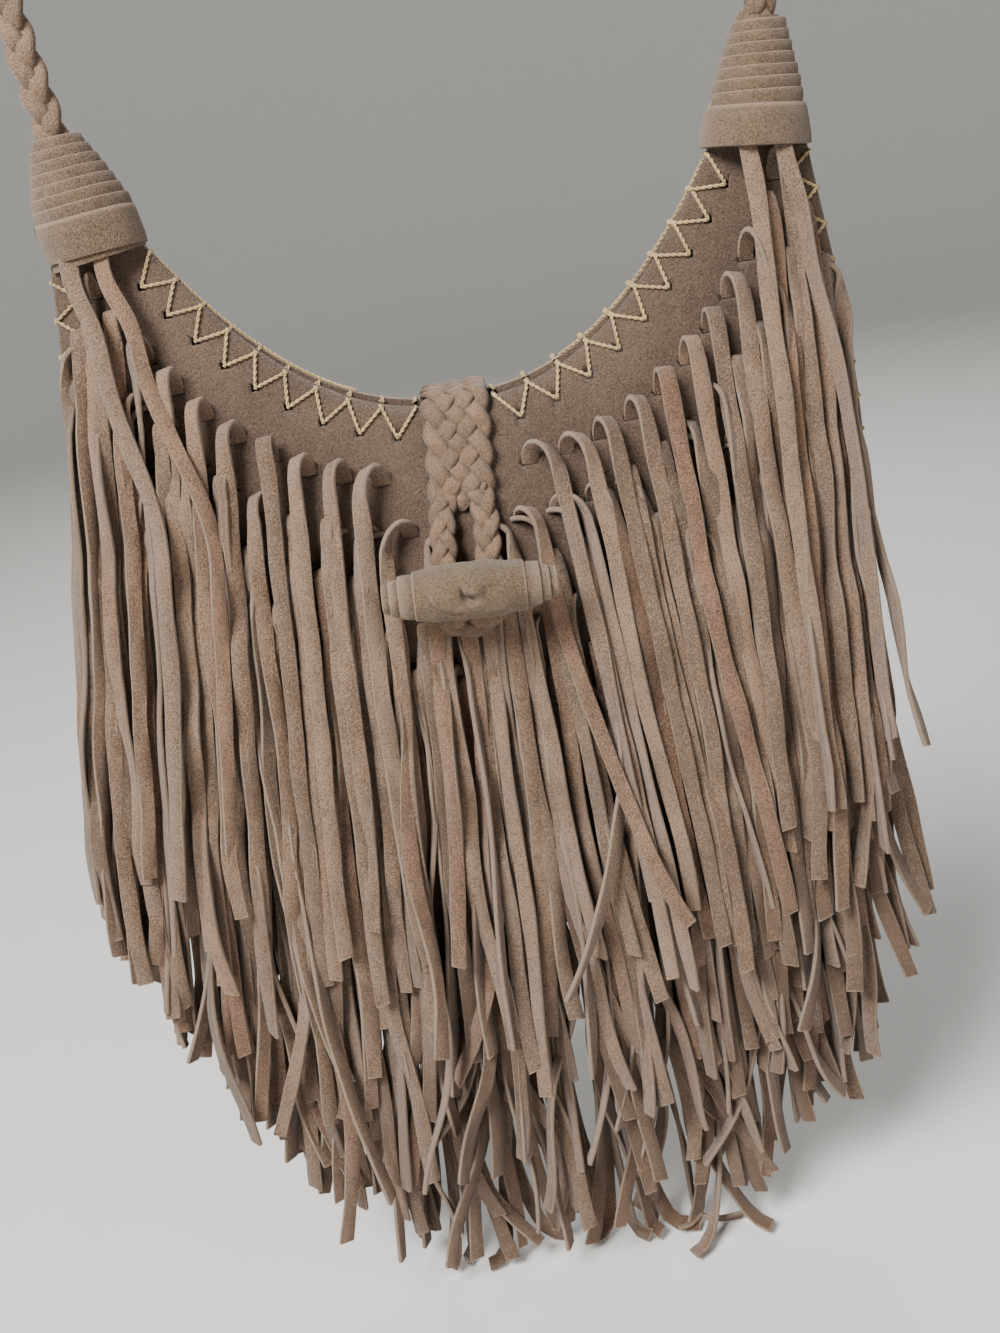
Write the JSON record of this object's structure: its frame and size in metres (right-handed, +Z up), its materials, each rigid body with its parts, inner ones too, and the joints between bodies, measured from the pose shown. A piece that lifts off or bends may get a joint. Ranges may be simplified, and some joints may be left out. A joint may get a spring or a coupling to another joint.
{
  "type": "fringed suede bag",
  "caption": "Crescent-topped suede pouch with tiers of long fringe, a braided shoulder strap, wrapped cone ends, and a braided loop that closes over a rolled toggle.",
  "frame": {"origin": "underside of the strap at its top, where a hook or a shoulder carries the bag", "axes": "+Z up, the front of the bag faces -Y, +X to the right as seen from the front"},
  "size_m": [0.2857, 0.0701, 0.7555],
  "materials": {
    "suede_panel": "matt brushed suede",
    "suede_fringe": "matt brushed suede",
    "suede_braid": "matt brushed suede",
    "suede_wrap": "matt brushed suede",
    "suede_toggle": "matt brushed suede",
    "thread": "waxed twisted thread"
  },
  "bodies": {
    "bag": {"front_panel": "suede_panel", "back_panel": "suede_panel", "cone_wrap_left": "suede_wrap", "cone_wrap_right": "suede_wrap", "strap": "suede_braid", "closure_tab": "suede_braid", "toggle_lace": "suede_toggle", "fringe_tier_1_left": "suede_fringe", "fringe_tier_1_right": "suede_fringe", "fringe_tier_2_left": "suede_fringe", "fringe_tier_2_right": "suede_fringe", "fringe_tier_3_left": "suede_fringe", "fringe_tier_3_right": "suede_fringe", "fringe_tier_4_left": "suede_fringe", "fringe_tier_4_right": "suede_fringe", "fringe_tier_5_left": "suede_fringe", "fringe_tier_5_right": "suede_fringe", "cone_lace_left_1": "suede_fringe", "cone_lace_left_2": "suede_fringe", "cone_lace_right_1": "suede_fringe", "cone_lace_right_2": "suede_fringe"},
    "toggle": {"toggle": "suede_toggle"}
  },
  "joints": [
    {"name": "toggle_turn", "type": "hinge", "parent": "bag", "child": "toggle", "pos_m": [-0.00817, -0.0415, -0.46925], "axis": [0, -1, 0], "range_deg": [-90, 90]}
  ]
}
